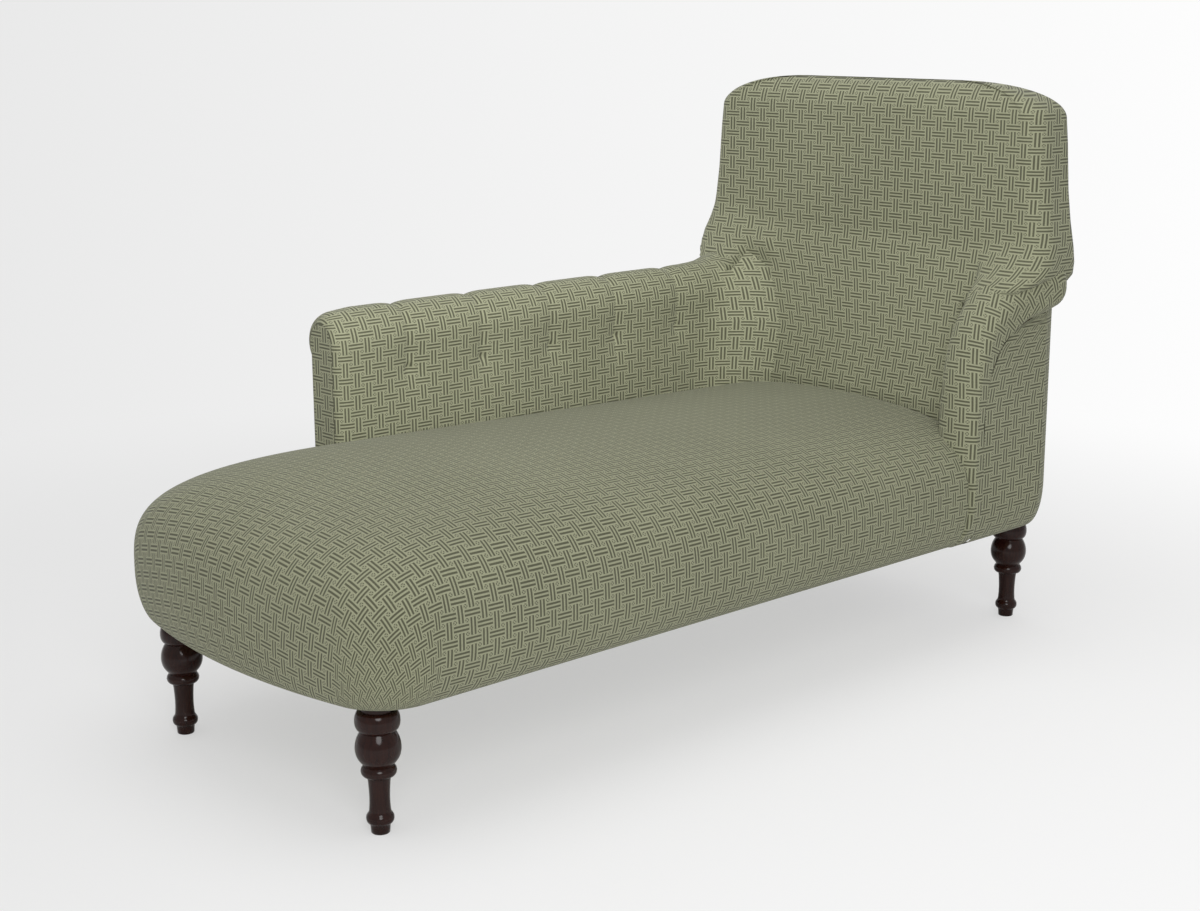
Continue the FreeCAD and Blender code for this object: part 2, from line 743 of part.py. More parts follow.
# Back: rounded slab between the arms below, wider than the body above the arms
def back_wire(height, half, shift, front, rear, edge, chords):
    """Plan outline of the inside back: hollowed front and rounded edges; shift moves it along Y."""
    edge = min(edge, edge_limit * (rear - front))
    reach = half - edge
    radius = (reach * reach + back_concavity * back_concavity) / (2 * back_concavity)
    turn = math.degrees(math.asin(reach / radius))
    rim = box_corners(front, rear, shift - half, shift + half, (edge, edge, edge, edge), chords)
    hollow = sweep((front + back_concavity - radius, shift), radius, turn, -turn, 2 * chords)
    return ring(rim + hollow[1:-1], flat(height))


def back_form(inset):
    """Wide slab above the arms, fused with the narrow one that goes down between them."""
    chords = chords_plain if inset else chords_wide
    rear = back_rear_x - inset
    wide_front = back_profile[-1][1] + inset
    edge = back_edge_radius - inset
    levels = back_levels if not inset else back_levels[::2]
    upper = []
    for height, half, drawn in levels:
        lift = -inset if height >= back_crest_low else 0.0
        drawn = min(drawn, (rear - wide_front) / 2 - wadding / 2)
        upper.append(back_wire(height + lift, half - inset, 0.0, wide_front + drawn, rear - drawn, edge, chords))
    half = (short_arm_inner + long_arm_inner) / 2 - soft_gap - inset
    shift = (long_arm_inner - short_arm_inner) / 2
    profile = back_profile if not inset else back_profile[1::3]
    lower = [back_wire(stuffing_bottom, half, shift, back_seat_x + inset, rear, soft_gap, chords)]
    for height, front in profile[1:]:
        lower.append(back_wire(height, half, shift, front + inset, rear, soft_gap, chords))
    lower.append(back_wire(back_wing_height + cloth, half, shift, wide_front, rear, soft_gap, chords))
    return loft(upper).fuse(loft(lower))


def back_opening(inset, rear):
    """Room at the rear of the padding, between the posts, where the webbing carries it."""
    reach = post_inner - rail_gap - inset
    return block(back_rear_x - 3 * wadding, rear, -reach, reach, 0, strap_top + rail_gap - inset)


above_floor = block(0, head_x, -body_half_width * 2, body_half_width * 2, stuffing_bottom + cloth, total_height)
back_skin = back_form(0.0)
back_hollow = back_form(wadding).fuse(back_opening(0.0, head_x).common(back_skin)).common(above_floor)
save("inside_back_cover", back_skin.cut(back_hollow))
plug = back_opening(rail_gap, back_rear_x - back_deck)
back_foam = back_form(wadding + rail_gap).fuse(plug.common(back_form(rail_gap)))
save("back_foam", back_foam.common(above_floor.translated(at(0, 0, rail_gap))))

# Seat: padded cover, open below inside its hem, and the foam on the webbing
whole = body_half_width * 2
seat_skin = loft(seat_wires(0.0, crown_angles)).common(seat_well(0.0, 0.0))
seat_hollow = loft(seat_wires(wadding, plain_crown_angles))
deck = block(-head_x, head_x, -whole, whole, 0, deck_height)
above = seat_hollow.common(seat_well(wadding, deck_height - joint_gap))
below = seat_hollow.common(deck)
hem_room = prism(frame_plan(hem), flat(base_height - cloth), at(0, 0, hem))
save("seat_cover", seat_skin.cut(below).cut(above).cut(hem_room))
filling = loft(seat_wires(wadding + rail_gap, plain_crown_angles))
frame_block = prism(frame_plan(0.0), flat(0), at(0, 0, deck_height))
save("seat_foam", filling.common(seat_well(wadding + rail_gap, 0.0)).cut(frame_block))

# Outside panels: the skin of the straight body, parted at the rear of the arms
body_hollow = outside_form(outside_panel)
floor_room = block(-head_x, head_x - rear_tuck - hem, -body_half_width + side_tuck + hem,
                   body_half_width - side_tuck - hem, 0, frame_bottom)
shell = outside_form(0.0).cut(body_hollow).cut(floor_room)
for x, y in leg_places.values():
    shell = shell.cut(rod(collar_radius + rail_gap, frame_bottom, x, y, 0))
front_cut = block(long_arm_x, back_rear_x, 0, whole, 0, roll_underside - rail_gap)
save("outside_back_cover", shell.common(block(back_post_x, head_x, -whole, whole, 0, total_height)))
save("long_arm_outside_cover", shell.common(front_cut))
save("short_arm_outside_cover", shell.common(board_room))

# Dust cover, tacked under the rails inside the hems and notched round the legs
dust_cover = prism(frame_plan(hem + rail_gap), flat(frame_bottom - rail_gap), at(0, 0, rail_gap - joint_gap))
for x, y in leg_places.values():
    dust_cover = dust_cover.cut(rod(collar_radius + rail_gap, frame_bottom, x, y, 0))
save("dust_cover", dust_cover)


# Webbing: straps that pass over and under each other in turn
def strap_points(start, end, crossings, first_up):
    """Lower edge and then upper edge of one strap, as pairs of distance along it and height."""
    middle = rail_top + 1.5 * strap_gap + strap_thickness
    path = [(start, 0.0), (start + strap_hold, 0.0)]
    for index, place in enumerate(crossings):
        up = 1.0 if (index % 2 == 0) == first_up else -1.0
        path += [(place - strap_flat / 2, up), (place + strap_flat / 2, up)]
    path += [(end - strap_hold, 0.0), (end, 0.0)]
    swing = (strap_thickness + strap_gap) / 2
    low = [(along, middle + up * swing - strap_thickness / 2) for along, up in path]
    high = [(along, height + strap_thickness) for along, height in low]
    return low + high[::-1]


long_start = foot_x + foot_tuck + hem
long_straps = []
for index, y in enumerate(long_strap_ys):
    points = strap_points(long_start, head_rail_end, cross_strap_xs, index % 2 == 0)
    long_straps.append(prism(points, upright(y - strap_width / 2), at(0, strap_width, 0)))
save("seat_webbing_long", together(long_straps))
cross_straps = []
for index, x in enumerate(cross_strap_xs):
    points = strap_points(-rail_outer + strap_hold / 2, rail_outer - strap_hold / 2, long_strap_ys, index % 2 == 1)
    cross_straps.append(prism(points, across(x - strap_width / 2), at(strap_width, 0, 0)))
save("seat_webbing_cross", together(cross_straps))
hessian_bottom = rail_top + 2 * strap_thickness + 4 * strap_gap
hessian = prism(frame_plan(hem), flat(hessian_bottom), at(0, 0, hessian_thickness))
save("seat_hessian", hessian.common(block(-head_x, head_rail_end, -rail_outer, rail_outer, 0, deck_height)))

back_straps = []
strap_x = back_rear_x - strap_thickness - strap_gap / 2
for y in back_strap_ys:
    back_straps.append(block(strap_x, strap_x + strap_thickness, y - strap_width / 2, y + strap_width / 2,
                             back_tack_rail_bottom + tack_rail_height / 3, strap_top))
save("back_webbing", together(back_straps))
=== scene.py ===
# %% [markdown]
# # A chaise longue in woven cloth
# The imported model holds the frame, the foam and plain covers in their real places. This lesson dresses it:
# the padded covers, the turned legs, the cloth with its interlaced bars, the light and the camera.
# Everything is in metres, +X towards the head end, +Y towards the long arm, +Z up.

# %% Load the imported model
import json
import math

import bpy
import bmesh
import numpy as np
from mathutils import Matrix, Vector


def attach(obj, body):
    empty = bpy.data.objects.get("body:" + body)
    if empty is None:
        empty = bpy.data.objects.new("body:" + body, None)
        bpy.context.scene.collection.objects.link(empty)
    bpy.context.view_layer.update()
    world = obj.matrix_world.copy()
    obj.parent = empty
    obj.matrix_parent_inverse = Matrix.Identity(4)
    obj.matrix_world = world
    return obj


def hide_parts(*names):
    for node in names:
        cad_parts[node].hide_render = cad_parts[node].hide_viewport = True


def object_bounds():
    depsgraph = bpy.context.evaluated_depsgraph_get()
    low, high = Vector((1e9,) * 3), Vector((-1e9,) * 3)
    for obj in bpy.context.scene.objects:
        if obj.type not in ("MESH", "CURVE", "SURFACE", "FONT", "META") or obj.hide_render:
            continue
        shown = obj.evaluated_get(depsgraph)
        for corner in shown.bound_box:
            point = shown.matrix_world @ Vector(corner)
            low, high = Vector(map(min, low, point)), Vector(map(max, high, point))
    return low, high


MM = 0.001
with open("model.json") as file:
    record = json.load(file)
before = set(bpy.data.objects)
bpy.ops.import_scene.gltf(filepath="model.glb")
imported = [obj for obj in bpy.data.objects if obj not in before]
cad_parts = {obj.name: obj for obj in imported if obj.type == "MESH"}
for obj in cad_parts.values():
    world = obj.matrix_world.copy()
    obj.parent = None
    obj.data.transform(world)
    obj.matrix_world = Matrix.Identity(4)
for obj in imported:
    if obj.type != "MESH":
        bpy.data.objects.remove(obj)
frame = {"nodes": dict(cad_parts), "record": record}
solid_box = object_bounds()
print("nodes", len(frame["nodes"]), "box", solid_box)

# %% [markdown]
# ## Helpers for padded forms
# An upholsterer pulls cloth over a shaped pad, so each cover is one skin with a direction along the
# piece and a direction across it. A grid of points with a cloth position for each point says both.
# The cloth position is kept in the UV map, counted in cells of the woven pattern.


# %% A skin from grids of points
def skin(name, *grids):
    """Mesh object from grids of points in millimetres, each with its cloth position in pattern cells."""
    places, quads, where = [], [], []
    count = 0
    for points, cloth in grids:
        rows, columns = points.shape[:2]
        corners = count + np.arange(rows * columns).reshape(rows, columns)
        sides = [corners[:-1, :-1], corners[:-1, 1:], corners[1:, 1:], corners[1:, :-1]]
        block = np.stack(sides, -1).reshape(-1, 4)
        places.append(points.reshape(-1, 3) * MM)
        quads.append(block)
        where.append(cloth.reshape(-1, 2))
        count += rows * columns
    quads = np.concatenate(quads)
    mesh = bpy.data.meshes.new(name)
    mesh.from_pydata(np.concatenate(places).tolist(), [], quads.tolist())
    layer = mesh.uv_layers.new(name="cloth")
    layer.data.foreach_set("uv", np.concatenate(where)[quads.reshape(-1)].reshape(-1))
    piece = bpy.data.objects.new(name, mesh)
    bpy.context.scene.collection.objects.link(piece)
    work = bmesh.new()
    work.from_mesh(mesh)
    bmesh.ops.remove_doubles(work, verts=work.verts, dist=0.00002)
    bmesh.ops.dissolve_degenerate(work, edges=work.edges, dist=0.00002)
    bmesh.ops.recalc_face_normals(work, faces=work.faces)
    open_edges = sum(edge.is_boundary for edge in work.edges)
    work.to_mesh(mesh)
    work.free()
    mesh.shade_smooth()
    print(name, "faces", len(mesh.polygons), "open edges", open_edges)
    return piece


def ring_close(points):
    """Repeats the first column at the end, so that each row is a closed ring."""
    return np.concatenate([points, points[:, :1]], axis=1)


def cap(ring, cloth, rows=14, middle=None):
    """Grid that closes a ring to its middle."""
    middle = ring.mean(axis=0) if middle is None else np.array(middle)
    shares = np.linspace(0, 1, rows)[:, None, None]
    points = ring[None] * (1 - shares) + middle * shares
    return points, cloth[None] * (1 - shares) + cloth.mean(axis=0) * shares


def ease(value, low, high):
    """0 below low, 1 above high, and a smooth change between."""
    t = np.clip((value - low) / (high - low), 0.0, 1.0)
    return t * t * (3 - 2 * t)


# %% [markdown]
# ## The seat
# The seat is sprung and crowned: widest some way above its lower edge, where the cloth is pulled under
# the rail, and rounded over the top. Its foot end is bowed and its corners are soft. One outline, drawn
# in by a growing amount, gives every level of that form.

# %% Seat sizes
foot_x = round(solid_box[0][0] / MM, 1)
head_x = round(solid_box[1][0] / MM, 1)
total_height = round(solid_box[1][2] / MM, 1)
base_height = 182.0
seat_half = 335.0
bulge_height = 262.0
crown_height = 430.0
crown_fall = 26.0
side_tuck = 42.0
foot_tuck = 26.0
foot_bow = 47.0
corner_radius = 112.0
corner_low_radius = 76.0
foot_rise = 450.0
crown_power = 1.6
back_seat_x = 529.0
back_rear_x = 668.0
arm_start_x = -355.0
arm_inner = 262.0
near_inner = 265.0
near_arm_x = 475.0
seat_cell = (19.6, 18.5)


# %% Outline of one level of the seat
def seat_level(side, foot, corner, bow_steps=36, corner_steps=30, side_steps=110):
    """Points (x, y) in millimetres from the near rear corner round the foot end to the far rear corner."""
    half = max(seat_half - side, 0.01)
    tip = foot_x + foot
    bow = foot_bow * half / seat_half
    bow_radius = (half * half + bow * bow) / (2 * bow)
    corner = min(corner, 0.9 * half)
    centre_y = half - corner
    centre_x = tip + bow_radius - math.sqrt((bow_radius - corner) ** 2 - centre_y**2)
    turn = math.atan2(centre_y, bow_radius + tip - centre_x)
    angles = np.pi - turn * np.linspace(0, 1, bow_steps)
    bowed = np.stack([tip + bow_radius + bow_radius * np.cos(angles), bow_radius * np.sin(angles)], 1)
    angles = np.linspace(np.pi - turn, np.pi / 2, corner_steps)[1:]
    rounded = np.stack([centre_x + corner * np.cos(angles), centre_y + corner * np.sin(angles)], 1)
    along = np.concatenate([np.linspace(centre_x, near_arm_x - 6, side_steps)[1:],
                            np.linspace(near_arm_x - 4, near_arm_x + 34, 16), np.linspace(515.0, 568.0, 8)])
    straight = np.stack([along, np.full_like(along, half)], 1)
    far = np.concatenate([bowed, rounded, straight])
    near = far[1:][::-1] * (1, -1)
    return np.concatenate([near, far])


# %% Levels of the seat, from the ridge down to the turned-in edge
def seat_grid():
    levels = []
    for angle in np.radians(np.linspace(90, 0, 64)):
        share = (1 - math.cos(angle)) ** crown_power
        lift = math.sin(angle)
        outline = seat_level(seat_half * share, foot_rise * share,
                             corner_radius + (seat_half - corner_radius) * share)
        height = bulge_height + (crown_height - bulge_height) * lift
        tilt = crown_fall / (back_seat_x - foot_x - foot_rise) * lift
        level = np.column_stack([outline, height - tilt * (outline[:, 0] - foot_x - foot_rise)])
        levels.append(level)
    for angle in np.radians(np.linspace(90, 0, 22)[1:]):
        left = 1 - math.sin(angle)
        outline = seat_level(side_tuck * left, foot_tuck * left,
                             corner_radius + (corner_low_radius - corner_radius) * left)
        height = base_height + (bulge_height - base_height) * (1 - math.cos(angle))
        levels.append(np.column_stack([outline, np.full(len(outline), height)]))
    outline = seat_level(side_tuck + 20, foot_tuck + 20, corner_low_radius - 20)
    levels.append(np.column_stack([outline, np.full(len(outline), base_height)]))
    return np.array(levels)


seat_points = seat_grid()
print("seat levels", seat_points.shape)

# %% [markdown]
# Cloth pulled down over a corner turns its threads: on the top they follow the seat, and at the corner
# the pull runs along their diagonal. Each point's cloth position is found by walking down its column and
# laying every step out flat in the direction of the pull.


# %% Lay the seat's cloth
def lay_down(points, cell):
    """Cloth positions of a grid whose first row is the ridge, with each column laid out along its pull."""
    plan = points[:, :, :2]
    steps = np.diff(points, axis=0)
    lengths = np.linalg.norm(steps, axis=2)
    ways = np.diff(plan, axis=0)
    widest = plan[63]
    along = np.gradient(widest, axis=0)
    outward = np.stack([along[:, 1], -along[:, 0]], 1)
    outward /= np.linalg.norm(outward, axis=1)[:, None] + 1e-9
    flip = np.sign(np.sum(outward * (widest - [widest[:, 0].mean(), 0]), axis=1))[:, None]
    outward *= np.where(flip == 0, 1, flip)
    reach = np.linalg.norm(ways, axis=2)[:, :, None]
    pull = np.where(reach > 1e-6, ways / (reach + 1e-9), outward[None])
    count = len(steps)
    weight = ease(np.arange(count), 30, 62)[:, None, None]
    pull = pull * (1 - weight) + outward[None] * weight
    pull /= np.linalg.norm(pull, axis=2)[:, :, None] + 1e-9
    flat = np.concatenate([plan[:1], plan[:1] + np.cumsum(pull * lengths[:, :, None], axis=0)])
    return flat / cell


seat_cloth = lay_down(seat_points, seat_cell)


# %% Tuck the seat in against the arms and the back
def tuck_in(points, axis, edge, way, radius):
    """Bends the part of a skin past a plane down along it, round a small radius."""
    bent = points.copy()
    past = (points[..., axis] - (edge - way * radius)) * way
    arc = np.clip(past / radius, 0, np.pi / 2)
    round_in = radius * np.sin(arc)
    round_down = radius * (1 - np.cos(arc))
    rest = np.clip(past - radius * np.pi / 2, 0, None)
    bent[..., axis] = np.where(past > 0, edge - way * radius + way * round_in, points[..., axis])
    bent[..., 2] = np.where(past > 0, points[..., 2] - round_down - rest, points[..., 2])
    return bent


def fold_seat(points):
    x, y = points[..., 0], points[..., 1]
    far = tuck_in(points, 1, arm_inner - 1.0, 1, 16.0)
    blend = ease(x, arm_start_x - 14, arm_start_x + 4)[..., None]
    points = points * (1 - blend) + far * blend
    points = tuck_in(points, 0, back_seat_x + 6.0, 1, 18.0)
    inside = ease(points[..., 0], near_arm_x + 23, near_arm_x + 33)[..., None]
    near = tuck_in(points, 1, -near_inner + 1.0, -1, 14.0)
    points = points * (1 - inside) + near * inside
    points[..., 2] = np.maximum(points[..., 2], base_height)
    return points


def plan_cap(ring, rows=6):
    """Grid that closes the lower edge flat, with its cloth laid out in plan."""
    points, _ = cap(ring, ring[:, :2] / seat_cell, rows)
    return points, points[..., :2] / seat_cell


seat_skin = ring_close(fold_seat(seat_points))
seat = skin("seat", (seat_skin, ring_close(seat_cloth)), plan_cap(seat_skin[-1]))

# %% [markdown]
# ## The long arm
# The arm is a low padded wall with a rolled top. Five tufts pull its inside in, and from each a pleat
# runs up over the roll and down to the seat. Near the back the arm rises and its inside turns round a
# wide hollow corner to meet the inside back.

# %% Long arm sizes
arm_height = 605.0
arm_roll = 352.0
arm_flare = 388.0
roll_under = 522.0
arm_low = 330.0
hollow_radius = 112.0
tuft_xs = [-212.0 + 152.0 * index for index in range(5)]
tuft_height = 500.0
tuft_depth = 15.0
tuft_spread = 34.0
dimple_depth = 7.0
dimple_radius = 7.0
long_pleat = 3
end_round = 26.0
end_draw = 16.0
end_behind = 339.0
arm_wall = 30.0
roll_width = arm_roll - arm_inner
roll_tuck = 30.0
roll_side_share = 0.45
shoulder_drop = 62.0
arm_cell = (22.0, 18.0)
back_cell = 19.0
# The front face of the inside back: heights, and the x at each.
back_front = ([300, 410, 500, 600, 680, 960], [529, 529, 549, 572, 589, 589])


def hollow_at(z):
    return np.interp(z, [300, 500, 600, 650, 700], [hollow_radius, hollow_radius, 70, 45, 40])


def cloth_along(s):
    """Cells along the inside of arm and back: the pattern is larger on the back than on the arm."""
    start = back_seat_x - hollow_radius
    end = start + hollow_radius * math.pi / 2
    cells = s / arm_cell[0]
    inner = start / arm_cell[0] + (s - start) * 2 / (arm_cell[0] + back_cell)
    last = start / arm_cell[0] + (end - start) * 2 / (arm_cell[0] + back_cell) + (s - end) / back_cell
    return np.where(s < start, cells, np.where(s < end, inner, last))


# %% [markdown]
# Each section of the arm is a line that climbs the inside, goes over the roll and comes back under it.
# The tufts pull the inside in with a narrow dimple, a soft hollow round it and creases between them.


# %% Pull of the tufts
def ridge(distance, width, height):
    """Soft ridge of a height, that fades with the distance from its line."""
    return np.exp(-((distance / width) ** 2)) * height


def tuft_pull(x, z):
    """How far the inside is pulled in, in millimetres, and how far the roll is creased."""
    pull = np.zeros_like(x)
    crease = np.zeros_like(x)
    for index, centre in enumerate(tuft_xs):
        dx = x - centre
        dz = z - tuft_height
        away = np.sqrt(dx**2 + dz**2)
        wide = (tuft_depth - dimple_depth) * np.exp(-((away / tuft_spread) ** 1.5))
        pull += ridge(away, dimple_radius, dimple_depth) + wide
        line = ridge(dx, 5.0, 2.2) + ridge(dx, 16.0, 2.6)
        crease += line * ease(z, tuft_height, tuft_height + 25)
        sharp, reach = (3.2, 60.0) if index == long_pleat else (1.4, 26.0)
        fade = np.exp(-np.clip(tuft_height - z, 0, None) / reach)
        crease += ridge(dx, 3.5, sharp) * ease(tuft_height - z, 0, 18) * fade
    return pull, crease


# %% Sections of the long arm
# The top of the long arm where it climbs into the back: x, and the height at each.
far_rise = ([440, 500, 530, 556, 576, 590, 598, 606], [arm_height, 608, 614, 625, 640, 656, 668, 676])


def arm_grid():
    ends = np.concatenate([np.zeros(1), np.linspace(0, 1, 12)[1:] ** 2 * end_round])
    straight = np.arange(30.0, 700.0, 3.2)
    hollow = np.linspace(703.0, back_rear_x - arm_start_x, 90)
    stations = np.concatenate([ends, straight, hollow]) + arm_start_x
    grid = []
    cloth = []
    for x in stations:
        depth = x - arm_start_x
        short = 1 - min(depth, end_round) / end_round
        drawn = end_draw * (1 - math.sqrt(max(0.0, 1 - short**2)))
        places = [arm_start_x, arm_start_x + 60, *far_rise[0]]
        top = float(np.interp(x, places, [arm_height - 6, arm_height, *far_rise[1]])) - drawn
        roll = float(np.interp(x, [470, 588], [arm_roll, arm_flare])) - drawn
        inner = arm_inner + drawn
        width = roll - inner
        crest = inner + width * 0.5
        shoulder = top - shoulder_drop * width / roll_width
        climb = np.linspace(arm_low, shoulder, 80)[:-1]
        rise = np.stack([np.full_like(climb, inner), climb], 1)
        over = np.linspace(0, np.pi / 2, 26)
        down = over[::-1]
        first = np.stack([inner + (crest - inner) * (1 - np.cos(over)),
                          shoulder + (top - shoulder) * np.sin(over)], 1)
        side = roll_under + (top - roll_under) * roll_side_share
        second = np.stack([roll + (crest - roll) * (1 - np.cos(down)),
                           side + (top - side) * np.sin(down)], 1)[1:]
        under = np.stack([roll + (-roll_tuck * width / roll_width) * (1 - np.cos(over)),
                          side + (roll_under - side) * np.sin(over)], 1)[1:]
        behind = end_behind - drawn * 0.4 if depth < 24 else inner + arm_wall
        under[:, 0] = np.maximum(under[:, 0], behind)
        section = np.concatenate([rise, first, second, under])
        lengths = np.concatenate([[0], np.cumsum(np.linalg.norm(np.diff(section, axis=0), axis=1))])
        y, z = section[:, 0].copy(), section[:, 1].copy()
        radius = hollow_at(z)
        start = np.interp(z, *back_front) - radius + 8.0
        beyond = np.clip((x - start) / radius, 0, 1)
        facing = 1 - ease(y, inner + width * 0.15, crest)
        y -= radius * (1 - np.sqrt(np.maximum(0, 1 - beyond**2))) * facing
        entry = back_seat_x - hollow_radius
        way = np.minimum(x, start) - entry + radius * np.arcsin(beyond)
        whole = start - entry + radius * math.pi / 2
        s = np.where(x < entry, x, entry + way * hollow_radius * math.pi / 2 / whole)
        pull, crease = tuft_pull(np.full_like(z, x), arm_low + lengths)
        on_inside = 1 - ease(y, inner + width * 0.1, crest)
        give = ease(depth, 20, 60)
        creased = crease * np.clip(1 - (y - inner) / (crest - inner + 1e-6), 0, 1)
        y += pull * on_inside * give + creased * give
        z -= crease * ease(y, inner + 4, crest) * (1 - ease(y, crest + 20, roll)) * give * 1.3
        y = np.append(y, [behind, behind])
        z = np.append(z, [roll_under, arm_low])
        s = np.append(s, s[-2:])
        lengths = np.append(lengths, lengths[-1] + np.array([arm_wall, roll_under - arm_low]))
        grid.append(np.stack([np.full_like(y, x), y, z], 1))
        cloth.append(np.stack([cloth_along(s - drawn * 0.8), (arm_low + lengths) / arm_cell[1]], 1))
    return np.array(grid), np.array(cloth)


def end_face(ring, rows=16):
    """Grid that closes the foot end of the arm, with its cloth laid upright."""
    middle = (arm_start_x, arm_inner + 36, roll_under + 16)
    points, _ = cap(ring, ring[:, 1:] / arm_cell, rows, middle)
    return points, points[..., 1:] / arm_cell


arm_points, arm_cloth = arm_grid()
arm_points, arm_cloth = ring_close(arm_points), ring_close(arm_cloth)
long_arm = skin("long_arm", (arm_points, arm_cloth), end_face(arm_points[0]),
                cap(arm_points[-1], arm_cloth[-1]))

# %% [markdown]
# ## The inside back
# The back is an arched cushion wider than the body: its cloth goes round the side edges and over the
# top to the rear. Below the arms it runs down between them to the seat.

# %% Levels of the back
back_edge = 35.0
# Half widths of the inside back: heights, and the half width at each.
back_widths = ([300, 582, 588, 600, 612, 622, 634, 655, 680, 720, 770, 850, 886],
               [262, 262, 325, 346, 364, 378, 388, 390, 387, 379, 372, 366, 362])
hem_height = 612.0
hem_half = 364.0
crest_start = 886.0
crest_rise = total_height - crest_start
crest_narrow = 190.0
crest_power = 1.05
crest_draw = 39.0
face_bow = 9.0
face_reach = 350.0
arm_shift = 60.0
arm_round = 60.0
# The top of the short arm where it climbs into the back: heights, and the x at each.
near_rise = ([560, 612, 652, 672, 695, 730, 760, 900], [500, 536, 590, 612, 640, 690, 760, 1600])


def soft_least(a, b, width):
    """The smaller of two values, with a round change from one to the other."""
    share = np.clip(width - np.abs(a - b), 0, None) / width
    return np.minimum(a, b) - share**2 * width / 4


def arm_drop(across, middle, spread, drop):
    """How far the round top of an arm falls away to either side of its middle line."""
    side = np.clip((across - middle) / spread, -0.97, 0.97)
    return drop * (1 - np.sqrt(1 - side**2))


def arm_front(across, z):
    """Where the tops of the two arms meet the back: the foot-most x that each arm reaches at a height."""
    drop = arm_drop(-across, 326.0, 64.0, 36.0) + 5.0 * np.clip(across + arm_inner, 0, None)
    near_x = np.interp(z + drop, *near_rise)
    drop = arm_drop(across, 325.0, 66.0, 30.0) + 2.0 * np.clip(215.0 - across, 0, None)
    far_x = np.interp(z + drop, [*far_rise[1], 700, 730, 760, 900], [*far_rise[0], 632, 680, 760, 1600])
    return np.where(across < 0, near_x, far_x)


def back_level(z):
    """Points of one level, from the rear near corner over the front to the rear far corner."""
    turn = math.asin(min(1.0, max(0.0, (z - crest_start) / crest_rise)))
    half = float(np.interp(z, *back_widths)) - crest_narrow * (1 - math.cos(turn)) ** crest_power
    drawn = crest_draw * (1 - math.cos(turn))
    front = float(np.interp(z, *back_front)) + drawn
    rear = back_rear_x - drawn
    edge = min(back_edge, (rear - front) * 0.48)
    reach = half - edge
    across = np.linspace(-reach, reach, 170)
    face = np.stack([front + face_bow * (1 - (across / face_reach) ** 2), across], 1)
    around = np.linspace(np.pi / 2, 0, 16)
    near = np.stack([front + edge - edge * np.cos(around), -reach - edge * np.sin(around)], 1)[:-1]
    far = near[::-1] * (1, -1)
    back = np.linspace(rear, front + edge, 10)[:-1]
    near_side = np.stack([back, np.full_like(back, -half)], 1)
    far_side = near_side[::-1] * (1, -1)
    level = np.concatenate([near_side, near, face, far, far_side])
    if 582 < z < 760:
        arm = np.maximum(arm_front(level[:, 1], z), level[:, 0] - arm_shift)
        blended = soft_least(level[:, 0], arm, arm_round) + 12.0 * ease(level[:, 0] - arm, 30, 60)
        shift = np.maximum(level[:, 0] - blended, 0.0) * (1 - ease(level[:, 0], front + edge, rear - 2.0))
        beside = ease(np.abs(level[:, 1]), 258, 272)
        level[:, 0] -= shift * np.maximum(beside, ease(z, 600, 650))
    return level


def back_grid():
    heights = np.concatenate([np.arange(330, 580, 6.0), np.arange(580, 760, 2.5), np.arange(760, 886, 5.0),
                              crest_start + crest_rise * np.sin(np.linspace(0, np.pi / 2, 30))])
    grid = []
    cloth = []
    for z in heights:
        level = back_level(z)
        across = level[:, 1]
        radius = float(hollow_at(z))
        lengths = np.concatenate([[0], np.cumsum(np.linalg.norm(np.diff(level, axis=0), axis=1))])
        lengths -= np.interp(0, across[9:-9], lengths[9:-9])
        stretch = (524 - hollow_radius) / (524 - radius)
        start = back_seat_x - hollow_radius + hollow_radius * math.pi / 2
        s = start + (arm_inner - radius - lengths) * stretch
        grid.append(np.column_stack([level, np.full(len(level), z)]))
        hem = np.zeros(len(level))
        if z < hem_height:
            hem = max(0.0, hem_half + level[0, 1]) * ease(np.abs(across), arm_inner, arm_inner + 38)
        cloth.append(np.stack([cloth_along(s), (z - hem) / arm_cell[1]], 1))
    return np.array(grid), np.array(cloth)


back_points, back_cloth = back_grid()
back_points, back_cloth = ring_close(back_points), ring_close(back_cloth)
inside_back = skin("inside_back", (back_points, back_cloth), cap(back_points[0], back_cloth[0]),
                   cap(back_points[-1], back_cloth[-1]))

# %% [markdown]
# ## The short arm
# On the near side a padded band climbs from the lower edge beside the seat, sweeps over and runs back
# into the inside back, wider and rounder as it goes.

# %% Short arm sections
band_cell = (22.0, 20.0)
# Rows of x, height, lean in degrees, outer side, depth and rounding.
short_path = np.array([
    (475.0, 182.0, 0.0, 302.0, 35.0, 8.0),
    (475.0, 192.0, 0.0, 316.0, 35.0, 9.0),
    (475.0, 205.0, 0.0, 327.0, 35.0, 11.0),
    (475.0, 235.0, 0.0, 339.0, 34.0, 14.0),
    (475.0, 262.0, 0.0, 342.0, 34.0, 14.0),
    (475.0, 420.0, 2.0, 342.0, 34.0, 16.0),
    (481.0, 495.0, 14.0, 344.0, 42.0, 20.0),
    (499.0, 558.0, 30.0, 350.0, 54.0, 27.0),
    (536.0, 612.0, 48.0, 366.0, 70.0, 36.0),
    (590.0, 652.0, 68.0, 386.0, 86.0, 42.0),
    (640.0, 672.0, 80.0, 390.0, 84.0, 42.0),
    (667.0, 677.0, 88.0, 374.0, 66.0, 36.0),
])


